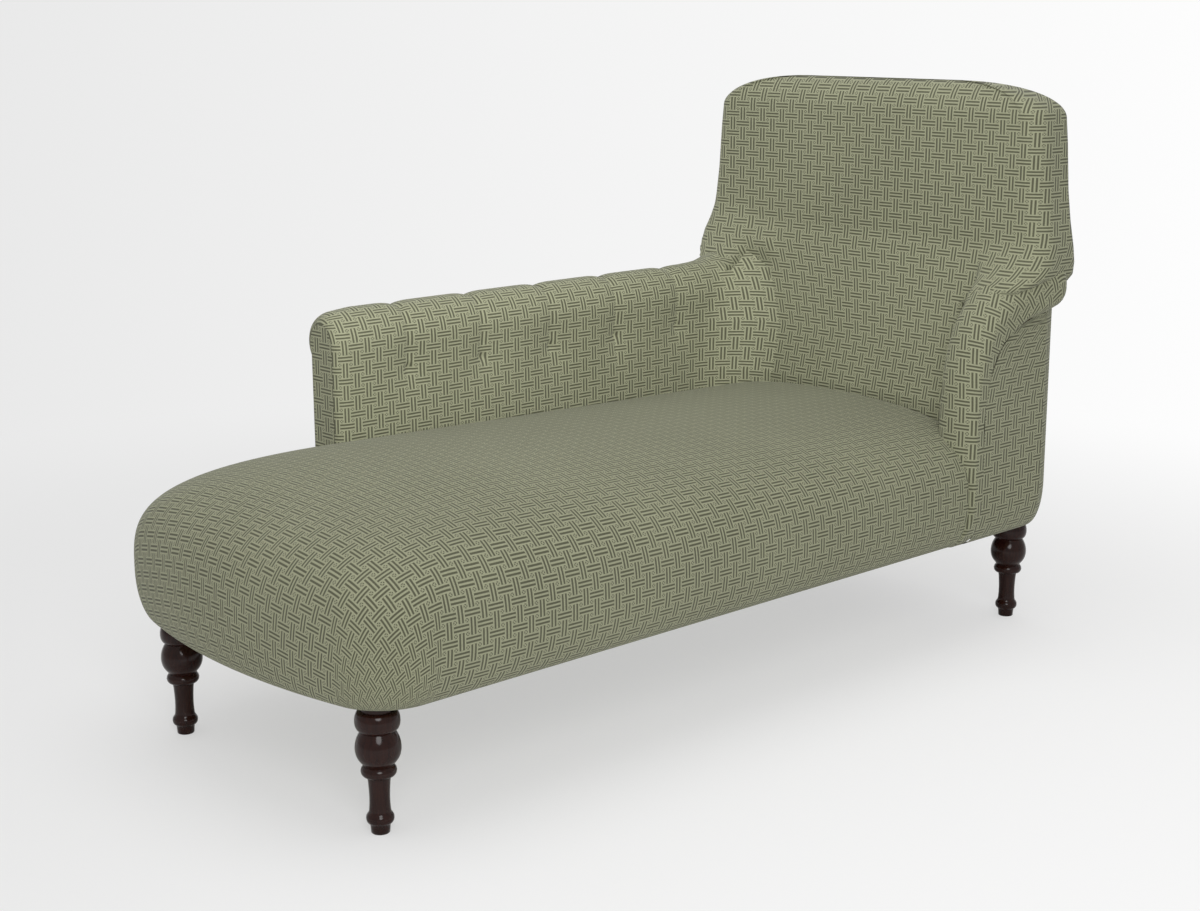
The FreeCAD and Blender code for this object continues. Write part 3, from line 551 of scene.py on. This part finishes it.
def smooth_path(rows, count):
    """Even, smooth readings of a table of rows along its own length."""
    steps = np.concatenate([[0], np.cumsum(np.linalg.norm(np.diff(rows[:, :2], axis=0), axis=1))])
    places = np.linspace(0, steps[-1], count)
    slopes = np.gradient(rows, steps, axis=0)
    out = np.zeros((count, rows.shape[1]))
    for index, place in enumerate(places):
        k = min(max(np.searchsorted(steps, place) - 1, 0), len(steps) - 2)
        span = steps[k + 1] - steps[k]
        t = (place - steps[k]) / span
        h = (2 * t**3 - 3 * t**2 + 1, t**3 - 2 * t**2 + t, -2 * t**3 + 3 * t**2, t**3 - t**2)
        leaving = h[0] * rows[k] + h[1] * span * slopes[k]
        out[index] = leaving + h[2] * rows[k + 1] + h[3] * span * slopes[k + 1]
    return places, out


def short_grid():
    places, rows = smooth_path(short_path, 150)
    grid = []
    cloth = []
    for place, (x, z, lean, outer, depth, rounding) in zip(places, rows):
        turn = math.radians(lean)
        low = near_inner - 1.0
        middle = (low + outer) / 2
        over = np.linspace(0, np.pi / 2, 24)
        inner_side = np.stack([np.full(8, -low), np.linspace(depth, rounding, 8)], 1)[:-1]
        rise = np.stack([-low + (-middle + low) * (1 - np.cos(over)), rounding * (1 - np.sin(over))], 1)
        down = over[::-1]
        fall = np.stack([-outer + (-middle + outer) * (1 - np.cos(down)),
                         rounding * (1 - np.sin(down))], 1)[1:]
        curl = 2.0 + 26.0 * float(ease(lean, 30, 75))
        outer_side = np.stack([np.full(8, -outer), np.linspace(rounding, depth - curl, 8)], 1)[1:]
        round_in = np.linspace(0, np.pi / 2, 8)[1:]
        under = np.stack([-outer + curl * (1 - np.cos(round_in)), depth - curl + curl * np.sin(round_in)], 1)
        section = np.concatenate([inner_side, rise, fall, outer_side, under])
        lengths = np.concatenate([[0], np.cumsum(np.linalg.norm(np.diff(section, axis=0), axis=1))])
        px = x + section[:, 1] * math.cos(turn)
        pz = z - section[:, 1] * math.sin(turn)
        grid.append(np.stack([px, section[:, 0], pz], 1))
        cloth.append(np.stack([lengths / band_cell[0], np.full(len(lengths), place / band_cell[1])], 1))
    return np.array(grid), np.array(cloth)


short_points, short_cloth = short_grid()
short_points, short_cloth = ring_close(short_points), ring_close(short_cloth)
short_arm = skin("short_arm", (short_points, short_cloth), cap(short_points[0], short_cloth[0]),
                 cap(short_points[-1], short_cloth[-1]))

# %% [markdown]
# ## The outside covers
# The outsides of the arms and the back are plain panels of the same cloth over board, rounded at the
# rear corners and turned under at the lower edge.

# %% Outside form
body_top = 908.0
body_half = 340.0
panel_cell = 24.0
# The front edge of the near panel: heights, and the x at each.
near_front = ([182, 420, 470, 515, 546, 556, 562], [508, 510, 520, 545, 582, 620, 640])


def body_level(z):
    """Points of one level of the straight body, from the near front round the rear to the far front."""
    left = 1 - math.sin(math.acos(max(0.0, min(1.0, 1 - (z - base_height) / (bulge_height - base_height)))))
    top = body_top
    drawn = float(np.interp(z, [top - 48, top - 23, top - 8, top], [0, 6, 22, 52]))
    half = body_half - side_tuck * left - drawn
    rear = head_x - 12.0 * left - drawn
    radius = 104.0 - 38.0 * left - drawn * 0.4
    turn = np.linspace(np.pi / 2, 0, 20)
    corner = np.stack([rear - radius + radius * np.cos(turn), -(half - radius) - radius * np.sin(turn)], 1)
    rear_line = np.linspace(-(half - radius), half - radius, 60)[1:-1]
    rear_face = np.stack([np.full_like(rear_line, rear), rear_line], 1)
    return half, corner, rear_face, corner[::-1] * (1, -1)


def panel(name, heights, columns, close=None):
    """Skin of the body between two stations, given by a function from height to a run of points."""
    grid = []
    cloth = []
    for z in heights:
        run = columns(z)
        lengths = np.concatenate([[0], np.cumsum(np.linalg.norm(np.diff(run, axis=0), axis=1))])
        grid.append(np.column_stack([run, np.full(len(run), z)]))
        cloth.append(np.stack([lengths / panel_cell, np.full(len(run), z / arm_cell[1])], 1))
    grid = np.array(grid)
    more = [close(grid[-1])] if close else []
    return skin(name, (grid, np.array(cloth)), *more)


low_levels = base_height + (bulge_height - base_height) * (1 - np.cos(np.linspace(0, np.pi / 2, 14)))


def rear_run(z):
    half, corner, rear_face, other = body_level(z)
    start = np.array([[back_rear_x - 3, -half]]) if corner[0, 0] > back_rear_x - 3 else corner[:0]
    return np.concatenate([start, corner, rear_face, other, start * (1, -1)])


def far_run(z):
    half = body_level(z)[0]
    along = np.linspace(back_rear_x + 3, arm_start_x + 12, 120)
    return np.stack([along, np.full_like(along, half)], 1)


def near_run(z):
    half = body_level(z)[0]
    front = float(np.interp(z, *near_front))
    along = np.linspace(front, back_rear_x + 3, 40)
    return np.stack([along, np.full_like(along, -half)], 1)


rear_heights = np.concatenate([low_levels, np.arange(270, 860, 10.0),
                               body_top - 48 * (1 - np.sin(np.linspace(0, np.pi / 2, 12)))])


def rear_even(z):
    """The same count of points at every level, so that the levels join into one skin."""
    run = rear_run(z)
    lengths = np.concatenate([[0], np.cumsum(np.linalg.norm(np.diff(run, axis=0), axis=1))])
    places = np.linspace(0, lengths[-1], 140)
    return np.stack([np.interp(places, lengths, run[:, 0]), np.interp(places, lengths, run[:, 1])], 1)


def top_run(ring, rows=8):
    """Grid that closes the top of the outside back, down to the rear of the padding."""
    inner = ring.copy()
    inner[:, 0] = back_rear_x - 8
    inner[:, 2] += 14.0
    shares = np.linspace(0, 1, rows)[:, None, None]
    points = ring[None] * (1 - shares) + inner * shares
    return points, points[..., 1::-1] / (back_cell, arm_cell[1])


outside_back = panel("outside_back", rear_heights, rear_even, top_run)
outside_far = panel("outside_long_arm", np.concatenate([low_levels, np.arange(270, 530, 8.0)]), far_run)
outside_near = panel("outside_short_arm", np.concatenate([low_levels, np.arange(270, 572, 6.0)]), near_run)

# %% [markdown]
# ## The turned legs
# Each leg is turned on a lathe: toe, bead, hollow shaft, ring, ball and bun. In Blender the lathe is Spin:
# one profile of vertices is spun round the leg's own line.

# %% Turn the legs
# Radius and height in millimetres, from the toe to the top of the dowel.
leg_profile = [
    (0.0, 0.0), (11.8, 0.0), (12.7, 0.9), (13.2, 8), (13.8, 12.5), (14.6, 13.8), (17.0, 15.2),
    (18.5, 17.8), (18.9, 21.0), (18.5, 24.2), (17.0, 26.8), (15.6, 28.4), (14.6, 32), (13.9, 42),
    (13.8, 52), (14.2, 62), (14.9, 72), (15.9, 79.8), (18.5, 80.8), (21.6, 82.0), (23.4, 84.4),
    (24.2, 88.0), (23.4, 91.6), (21.8, 94.0), (20.5, 95.4), (21.8, 98.4), (24.6, 101.6),
    (27.4, 105.6), (29.6, 110.6), (30.8, 116.4), (31.0, 121.0), (30.4, 127.0), (28.8, 133.0),
    (26.4, 138.4), (24.2, 142.2), (23.6, 143.6), (25.2, 144.8), (28.0, 147.6), (29.8, 151.6),
    (30.5, 156.6), (30.3, 161.4), (29.4, 166.0), (27.8, 169.8), (26.0, 172.2), (22.0, 172.8),
    (22.0, 185.0),
]


def turn_leg(name, x, y):
    bpy.ops.object.select_all(action="DESELECT")
    mesh = bpy.data.meshes.new(name)
    verts = [(x + radius * MM, y, height * MM) for radius, height in leg_profile]
    mesh.from_pydata(verts, [(k, k + 1) for k in range(len(verts) - 1)], [])
    leg = bpy.data.objects.new(name, mesh)
    bpy.context.scene.collection.objects.link(leg)
    bpy.context.view_layer.objects.active = leg
    leg.select_set(True)
    bpy.ops.object.mode_set(mode="EDIT")
    bpy.ops.mesh.select_all(action="SELECT")
    bpy.ops.mesh.spin(steps=72, angle=math.tau, center=(x, y, 0), axis=(0, 0, 1))
    bpy.ops.mesh.select_all(action="SELECT")
    bpy.ops.mesh.remove_doubles(threshold=0.00002)
    bpy.ops.mesh.normals_make_consistent(inside=False)
    bpy.ops.object.mode_set(mode="OBJECT")
    bpy.ops.object.shade_smooth_by_angle(angle=math.radians(50))
    return leg


foot_leg_x = foot_x + 91.0
head_leg_x = head_x - 37.0
leg_side = 249.0
leg_places = {
    "foot_near": (foot_leg_x, -leg_side),
    "foot_far": (foot_leg_x, leg_side),
    "head_near": (head_leg_x, -leg_side),
    "head_far": (head_leg_x, leg_side),
}
legs = {name: turn_leg("turned_" + name, x * MM, y * MM) for name, (x, y) in leg_places.items()}
print("legs", list(legs))

# %% [markdown]
# ## The cloth
# The cloth has bars that pass over and under each other in turn. In every cell one bar lies across the
# other, upright where the cell's column and row add up to an even number and level where they don't.
# All of it is worked out from the cloth position in the UV map, with plain arithmetic nodes.


# %% Cloth material
class Chain:
    """Short way to write arithmetic with Math nodes."""

    def __init__(self, tree):
        self.tree = tree

    def math(self, kind, *values, clamp=False):
        made = self.tree.nodes.new("ShaderNodeMath")
        made.operation = kind
        made.use_clamp = clamp
        for socket, value in zip(made.inputs, values):
            if isinstance(value, (int, float)):
                socket.default_value = value
            else:
                self.tree.links.new(value, socket)
        return made.outputs[0]

    def mix(self, factor, low, high):
        """low where factor is 0, high where it is 1."""
        gap = self.math("SUBTRACT", high, low)
        return self.math("MULTIPLY_ADD", gap, factor, low)

    def step(self, value, edge, soft):
        """0 below the edge and 1 above it, over a soft width."""
        shifted = self.math("SUBTRACT", value, edge - soft / 2)
        return self.math("DIVIDE", shifted, soft, clamp=True)


bar_half = 0.35
core_half = 0.075
edge_from = 0.225
line_soft = 0.045


def woven(name, light, dark, sheen):
    material = bpy.data.materials.new(name)
    material.use_nodes = True
    tree = material.node_tree
    chain = Chain(tree)
    link = tree.links.new
    shader = tree.nodes["Principled BSDF"]
    place = tree.nodes.new("ShaderNodeUVMap")
    place.uv_map = "cloth"
    parts = tree.nodes.new("ShaderNodeSeparateXYZ")
    link(place.outputs["UV"], parts.inputs[0])
    u, v = parts.outputs[0], parts.outputs[1]
    column = chain.math("FLOOR", u)
    row = chain.math("FLOOR", v)
    level = chain.math("PINGPONG", chain.math("ADD", column, row), 1.0)
    in_u = chain.math("ABSOLUTE", chain.math("SUBTRACT", chain.math("FRACT", u), 0.5))
    in_v = chain.math("ABSOLUTE", chain.math("SUBTRACT", chain.math("FRACT", v), 0.5))
    across = chain.mix(level, in_u, in_v)
    along = chain.mix(level, in_v, in_u)
    beyond = chain.step(across, bar_half, 0.015)
    stripe = chain.mix(beyond, across, along)
    core = chain.math("SUBTRACT", 1.0, chain.step(stripe, core_half, line_soft))
    edge = chain.step(stripe, edge_from, line_soft)
    lines = chain.math("MAXIMUM", core, edge)
    corner = chain.math("MULTIPLY", beyond, chain.step(along, bar_half, 0.015))
    off = chain.math("ABSOLUTE", chain.math("SUBTRACT", across, along))
    cross = chain.math("SUBTRACT", 1.0, chain.step(off, 0.05, 0.04))
    ribs = chain.mix(corner, lines, cross)
    thread = tree.nodes.new("ShaderNodeTexNoise")
    thread.inputs["Scale"].default_value = 9.0
    thread.inputs["Detail"].default_value = 3.0
    link(place.outputs["UV"], thread.inputs["Vector"])
    wear = tree.nodes.new("ShaderNodeTexNoise")
    where = tree.nodes.new("ShaderNodeTexCoord")
    wear.inputs["Scale"].default_value = 6.0
    wear.inputs["Detail"].default_value = 2.0
    link(where.outputs["Object"], wear.inputs["Vector"])
    uneven = chain.math("MULTIPLY_ADD", chain.math("SUBTRACT", thread.outputs[0], 0.5), 0.5, ribs)
    uneven = chain.math("MULTIPLY_ADD", chain.math("SUBTRACT", wear.outputs[0], 0.5), 0.25, uneven)
    ramp = tree.nodes.new("ShaderNodeValToRGB")
    ramp.color_ramp.elements[0].position = 0.0
    ramp.color_ramp.elements[0].color = (*dark, 1)
    ramp.color_ramp.elements[1].position = 1.0
    ramp.color_ramp.elements[1].color = (*light, 1)
    link(uneven, ramp.inputs[0])
    link(ramp.outputs[0], shader.inputs["Base Color"])
    bump = tree.nodes.new("ShaderNodeBump")
    bump.inputs["Strength"].default_value = 0.5
    bump.inputs["Distance"].default_value = 0.0012
    link(uneven, bump.inputs["Height"])
    link(bump.outputs[0], shader.inputs["Normal"])
    shader.inputs["Roughness"].default_value = 0.85
    shader.inputs["Specular IOR Level"].default_value = 0.25
    shader.inputs["Sheen Weight"].default_value = sheen
    shader.inputs["Sheen Roughness"].default_value = 0.5
    return material


cover_cloth = woven("basket_cloth", (0.315, 0.323, 0.212), (0.088, 0.089, 0.054), 0.12)


# %% Other materials
def plain(name, colour, rough, coat=0.0):
    material = bpy.data.materials.new(name)
    material.use_nodes = True
    tree = material.node_tree
    shader = tree.nodes["Principled BSDF"]
    grain = tree.nodes.new("ShaderNodeTexNoise")
    where = tree.nodes.new("ShaderNodeTexCoord")
    spread = tree.nodes.new("ShaderNodeMapping")
    spread.inputs["Scale"].default_value = (60, 60, 6)
    grain.inputs["Scale"].default_value = 4.0
    grain.inputs["Detail"].default_value = 5.0
    tree.links.new(where.outputs["Object"], spread.inputs["Vector"])
    tree.links.new(spread.outputs[0], grain.inputs["Vector"])
    ramp = tree.nodes.new("ShaderNodeValToRGB")
    ramp.color_ramp.elements[0].position = 0.3
    ramp.color_ramp.elements[0].color = (*[c * 0.7 for c in colour], 1)
    ramp.color_ramp.elements[1].position = 0.7
    ramp.color_ramp.elements[1].color = (*[min(1, c * 1.25) for c in colour], 1)
    tree.links.new(grain.outputs[0], ramp.inputs[0])
    tree.links.new(ramp.outputs[0], shader.inputs["Base Color"])
    shader.inputs["Roughness"].default_value = rough
    shader.inputs["Coat Weight"].default_value = coat
    shader.inputs["Coat Roughness"].default_value = 0.05
    return material


leg_finish = plain("leg_lacquer", (0.020, 0.006, 0.004), 0.16, 0.12)
leg_finish.node_tree.nodes["Principled BSDF"].inputs["Specular IOR Level"].default_value = 0.2
beech = plain("beech", (0.50, 0.34, 0.20), 0.6)
jute = plain("jute", (0.40, 0.30, 0.18), 0.9)
foam = plain("foam", (0.70, 0.64, 0.46), 0.9)
black_cloth = plain("dust_cloth", (0.02, 0.02, 0.02), 0.9)
bolt_steel = plain("bolt_steel", (0.45, 0.45, 0.45), 0.4)

# %% Give every piece its finish and its place on the body
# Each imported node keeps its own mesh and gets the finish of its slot.
finish = {
    "frame_wood": beech,
    "jute": jute,
    "foam": foam,
    "dust_cloth": black_cloth,
    "bolt_steel": bolt_steel,
    "stained_wood": leg_finish,
    "cover_fabric": cover_cloth,
}
slots = {entry["node"]: entry["material_slot"] for entry in frame["record"]["subparts"]}
for node, body in frame["nodes"].items():
    for slot in body.material_slots:
        slot.material = finish[slots[node]]

dressed = {
    seat: ("seat_cover", "seat_foam"),
    long_arm: ("long_arm_cover", "long_arm_foam", "arm_buttons"),
    inside_back: ("inside_back_cover", "back_foam"),
    short_arm: ("short_arm_cover", "short_arm_foam"),
    outside_back: ("outside_back_cover",),
    outside_far: ("long_arm_outside_cover",),
    outside_near: ("short_arm_outside_cover",),
}
for piece, nodes in dressed.items():
    piece.data.materials.append(cover_cloth)
    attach(piece, "root")
    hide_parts(*nodes)
for name, leg in legs.items():
    leg.data.materials.append(leg_finish)
    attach(leg, "root")
    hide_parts("leg_" + name)

# %% [markdown]
# ## Floor, light and camera
# A pale floor fades into a pale surround. For the camera both glow with a painted light falloff, pale grey
# on the left of the picture and white on the right, and near the chaise part of the floor is glow, painted
# fill that lightens its cast shadow. One broad soft light hangs above and a large one stands at the front
# left.
# Two small ones reach only the long arm, and the back with the short arm. The camera stands a little above
# the arm, to the left of the foot end.

# %% Floor and surround
eye_place = (-2.076, -2.235, 1.077)
side_reach = 0.32


def painted_falloff(tree, source, reach, socket):
    """Painted light falloff: glow colour that runs from pale grey on the left of the picture to white on the
    right.
    """
    unit = tree.nodes.new("ShaderNodeVectorMath")
    unit.operation = "NORMALIZE"
    tree.links.new(source, unit.inputs[0])
    across = tree.nodes.new("ShaderNodeVectorMath")
    across.operation = "DOT_PRODUCT"
    across.inputs[1].default_value = (0.739, -0.673, 0.0)
    tree.links.new(unit.outputs[0], across.inputs[0])
    fade = tree.nodes.new("ShaderNodeMapRange")
    fade.inputs["From Min"].default_value = -reach
    fade.inputs["From Max"].default_value = reach
    tree.links.new(across.outputs["Value"], fade.inputs["Value"])
    shades = tree.nodes.new("ShaderNodeValToRGB")
    shades.color_ramp.elements[0].color = (0.81, 0.81, 0.81, 1)
    shades.color_ramp.elements[1].color = (0.99, 0.99, 0.99, 1)
    tree.links.new(fade.outputs[0], shades.inputs[0])
    tree.links.new(shades.outputs[0], socket)


bpy.ops.object.select_all(action="DESELECT")
bpy.ops.mesh.primitive_plane_add(size=60, location=(0, 0, 0))
floor = bpy.context.object
floor.name = "floor"
pale = bpy.data.materials.new("pale_floor")
pale.use_nodes = True
tree = pale.node_tree
shader = tree.nodes["Principled BSDF"]
shader.inputs["Base Color"].default_value = (0.94, 0.94, 0.94, 1)
shader.inputs["Roughness"].default_value = 0.9
shader.inputs["Specular IOR Level"].default_value = 0.1
glow = tree.nodes.new("ShaderNodeEmission")
where = tree.nodes.new("ShaderNodeTexCoord")
from_left = tree.nodes.new("ShaderNodeVectorMath")
from_left.operation = "SUBTRACT"
from_left.inputs[1].default_value = eye_place
tree.links.new(where.outputs["Object"], from_left.inputs[0])
# The floor's glow carries the painted light falloff, pale grey on the left to white on the right.
painted_falloff(tree, from_left.outputs[0], side_reach, glow.inputs["Color"])
# Painted fill: near the chaise about half of the floor is glow, which lightens its cast shadow; farther out
# it is all glow.
away = tree.nodes.new("ShaderNodeVectorMath")
away.operation = "LENGTH"
tree.links.new(where.outputs["Object"], away.inputs[0])
spread = tree.nodes.new("ShaderNodeMapRange")
spread.interpolation_type = "SMOOTHSTEP"
spread.inputs["From Min"].default_value = 1.0
spread.inputs["From Max"].default_value = 2.4
spread.inputs["To Min"].default_value = 0.54
tree.links.new(away.outputs["Value"], spread.inputs["Value"])
seen = tree.nodes.new("ShaderNodeLightPath")
both = tree.nodes.new("ShaderNodeMath")
both.operation = "MULTIPLY"
tree.links.new(spread.outputs[0], both.inputs[0])
tree.links.new(seen.outputs["Is Camera Ray"], both.inputs[1])
blend = tree.nodes.new("ShaderNodeMixShader")
tree.links.new(both.outputs[0], blend.inputs[0])
tree.links.new(shader.outputs[0], blend.inputs[1])
tree.links.new(glow.outputs[0], blend.inputs[2])
tree.links.new(blend.outputs[0], tree.nodes["Material Output"].inputs["Surface"])
floor.data.materials.append(pale)

# %% Surround
world = bpy.data.worlds.new("surround")
bpy.context.scene.world = world
world.use_nodes = True
tree = world.node_tree
ground = tree.nodes["Background"]
ground.inputs["Color"].default_value = (1, 1, 1, 1)
ground.inputs["Strength"].default_value = 0.55
seen = tree.nodes.new("ShaderNodeLightPath")
pure = tree.nodes.new("ShaderNodeBackground")
view = tree.nodes.new("ShaderNodeTexCoord")
# The surround seen by the camera carries the same painted light falloff as the floor.
painted_falloff(tree, view.outputs["Generated"], side_reach, pure.inputs["Color"])
pure.inputs["Strength"].default_value = 1.0
blend = tree.nodes.new("ShaderNodeMixShader")
tree.links.new(seen.outputs["Is Camera Ray"], blend.inputs[0])
tree.links.new(ground.outputs[0], blend.inputs[1])
tree.links.new(pure.outputs[0], blend.inputs[2])
tree.links.new(blend.outputs[0], tree.nodes["World Output"].inputs["Surface"])


# %% Lamps
def soft_lamp(name, place, aim, size, power):
    lamp = bpy.data.lights.new(name, "AREA")
    lamp.shape = "DISK"
    lamp.size = size
    lamp.energy = power
    holder = bpy.data.objects.new(name, lamp)
    bpy.context.scene.collection.objects.link(holder)
    holder.location = place
    holder.rotation_euler = (Vector(aim) - Vector(place)).to_track_quat("-Z", "Y").to_euler()
    return holder


soft_lamp("top_light", (-0.2, -0.2, 3.0), (0, 0, 0.4), 2.6, 22)
soft_lamp("front_light", (-2.2, -3.0, 2.3), (0.3, 0.1, 0.55), 1.8, 52)
arm_light = soft_lamp("arm_light", (-0.9, -2.2, 1.4), (0.3, 0.3, 0.5), 1.4, 36)
back_light = soft_lamp("back_light", (-2.2, 0.5, 1.5), (0.6, 0.0, 0.6), 1.4, 19)
for lamp, pieces in ((arm_light, (long_arm,)), (back_light, (inside_back, short_arm))):
    lit = bpy.data.collections.new(lamp.name + "_covers")
    for piece in pieces:
        lit.objects.link(piece)
    lamp.light_linking.receiver_collection = lit

# %% Camera
eye = Vector(eye_place)
yaw, pitch, roll = (math.radians(value) for value in (-42.341, 13.111, 0.244))
behind = Vector((math.sin(yaw) * math.cos(pitch), -math.cos(yaw) * math.cos(pitch), math.sin(pitch)))
right = (-behind).cross(Vector((0, 0, 1))).normalized()
down = (-behind).cross(right)
tilted_right = right * math.cos(roll) + down * math.sin(roll)
tilted_down = down * math.cos(roll) - right * math.sin(roll)
camera_data = bpy.data.cameras.new("camera")
camera_data.sensor_width = 36.0
camera_data.lens = 58.5
camera = bpy.data.objects.new("camera", camera_data)
bpy.context.scene.collection.objects.link(camera)
rotation = Matrix((tilted_right, -tilted_down, behind)).transposed()
camera.matrix_world = Matrix.Translation(eye) @ rotation.to_4x4()
bpy.context.scene.camera = camera
bpy.context.scene.view_settings.view_transform = "Standard"
